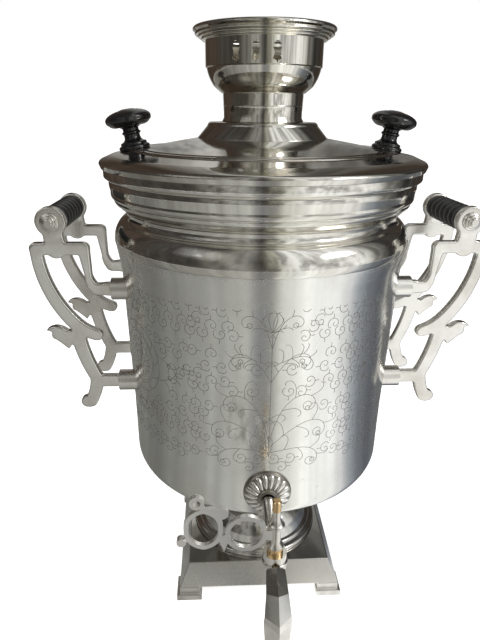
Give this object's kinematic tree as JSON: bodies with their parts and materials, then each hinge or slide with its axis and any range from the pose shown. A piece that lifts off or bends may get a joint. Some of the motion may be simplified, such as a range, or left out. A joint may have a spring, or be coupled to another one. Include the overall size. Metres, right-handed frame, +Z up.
{
  "type": "samovar",
  "caption": "Charcoal samovar: drum tank on a pedestal and square base, lift-off lid and crown, scroll handles with grips, and a front tap with a turning key.",
  "frame": {"origin": "on the floor, under the centre of the drum, between the four feet", "axes": "+Z up along the drum's axis, the tap at -Y, the handles at +X and -X"},
  "size_m": [0.471, 0.4327, 0.629],
  "materials": {
    "body_nickel": "polished nickel plate on spun brass, finely scratched, engraved",
    "lid_nickel": "polished nickel plate on spun brass",
    "crown_nickel": "polished nickel plate on spun brass",
    "base_nickel": "satin nickel plate",
    "cast_nickel": "satin nickel plate on cast brass, rounded edges",
    "tap_nickel": "polished nickel plate on cast brass",
    "key_nickel": "cast and plated, worn pale",
    "tinned_inside": "dull tinned inner face",
    "iron": "sooty casting",
    "brass": "turned, worn bare",
    "steel": "drawn rod",
    "black_wood": "turned wood, gloss black lacquer",
    "black_grip": "turned wood, satin black",
    "seal": "packing washer"
  },
  "bodies": {
    "body": {"base_skirt": "base_nickel", "bracket_left_front": "cast_nickel", "bracket_left_rear": "cast_nickel", "bracket_right_front": "cast_nickel", "bracket_right_rear": "cast_nickel", "cap_nuts": "cast_nickel", "collar": "body_nickel", "drum_shell": "body_nickel", "fire_tube": "tinned_inside", "foot_front_left": "base_nickel", "foot_front_right": "base_nickel", "foot_rear_left": "base_nickel", "foot_rear_right": "base_nickel", "grate": "iron", "grip_left": "black_grip", "grip_right": "black_grip", "grip_rod_left": "steel", "grip_rod_right": "steel", "handle_nuts": "brass", "handle_saddles": "brass", "handle_studs": "brass", "lower_handle_pads": "cast_nickel", "pedestal_cup": "base_nickel", "pedestal_foot": "base_nickel", "rosette": "tap_nickel", "shoulder": "body_nickel", "spout_beak": "tap_nickel", "tank_bottom": "tinned_inside", "tap_body": "tap_nickel", "tap_nut": "brass", "tap_seal": "seal", "upper_handle_pads": "cast_nickel"},
    "lid": {"lid": "lid_nickel", "lid_collar": "lid_nickel", "lid_guide": "lid_nickel", "knob_left": "black_wood", "knob_right": "black_wood", "knob_screws": "brass", "knob_washers": "brass", "vent_seat": "lid_nickel"},
    "crown": {"crown_neck": "crown_nickel", "crown_bowl": "crown_nickel"},
    "vent_cap": {"vent_cap": "lid_nickel"},
    "key": {"key_plug": "brass", "key_handle": "key_nickel"}
  },
  "joints": [
    {"name": "lid_lift", "type": "slide", "parent": "body", "child": "lid", "axis": [0, 0, 1], "range_m": [0, 0.12]},
    {"name": "crown_lift", "type": "slide", "parent": "lid", "child": "crown", "axis": [0, 0, 1], "range_m": [0, 0.06]},
    {"name": "vent_cap_lift", "type": "slide", "parent": "lid", "child": "vent_cap", "axis": [0, 0.1736, 0.9848], "range_m": [0, 0.03]},
    {"name": "key_turn", "type": "hinge", "parent": "body", "child": "key", "pos_m": [0, -0.219, 0.2], "axis": [0, 0, 1], "range_deg": [-55, 235]}
  ]
}
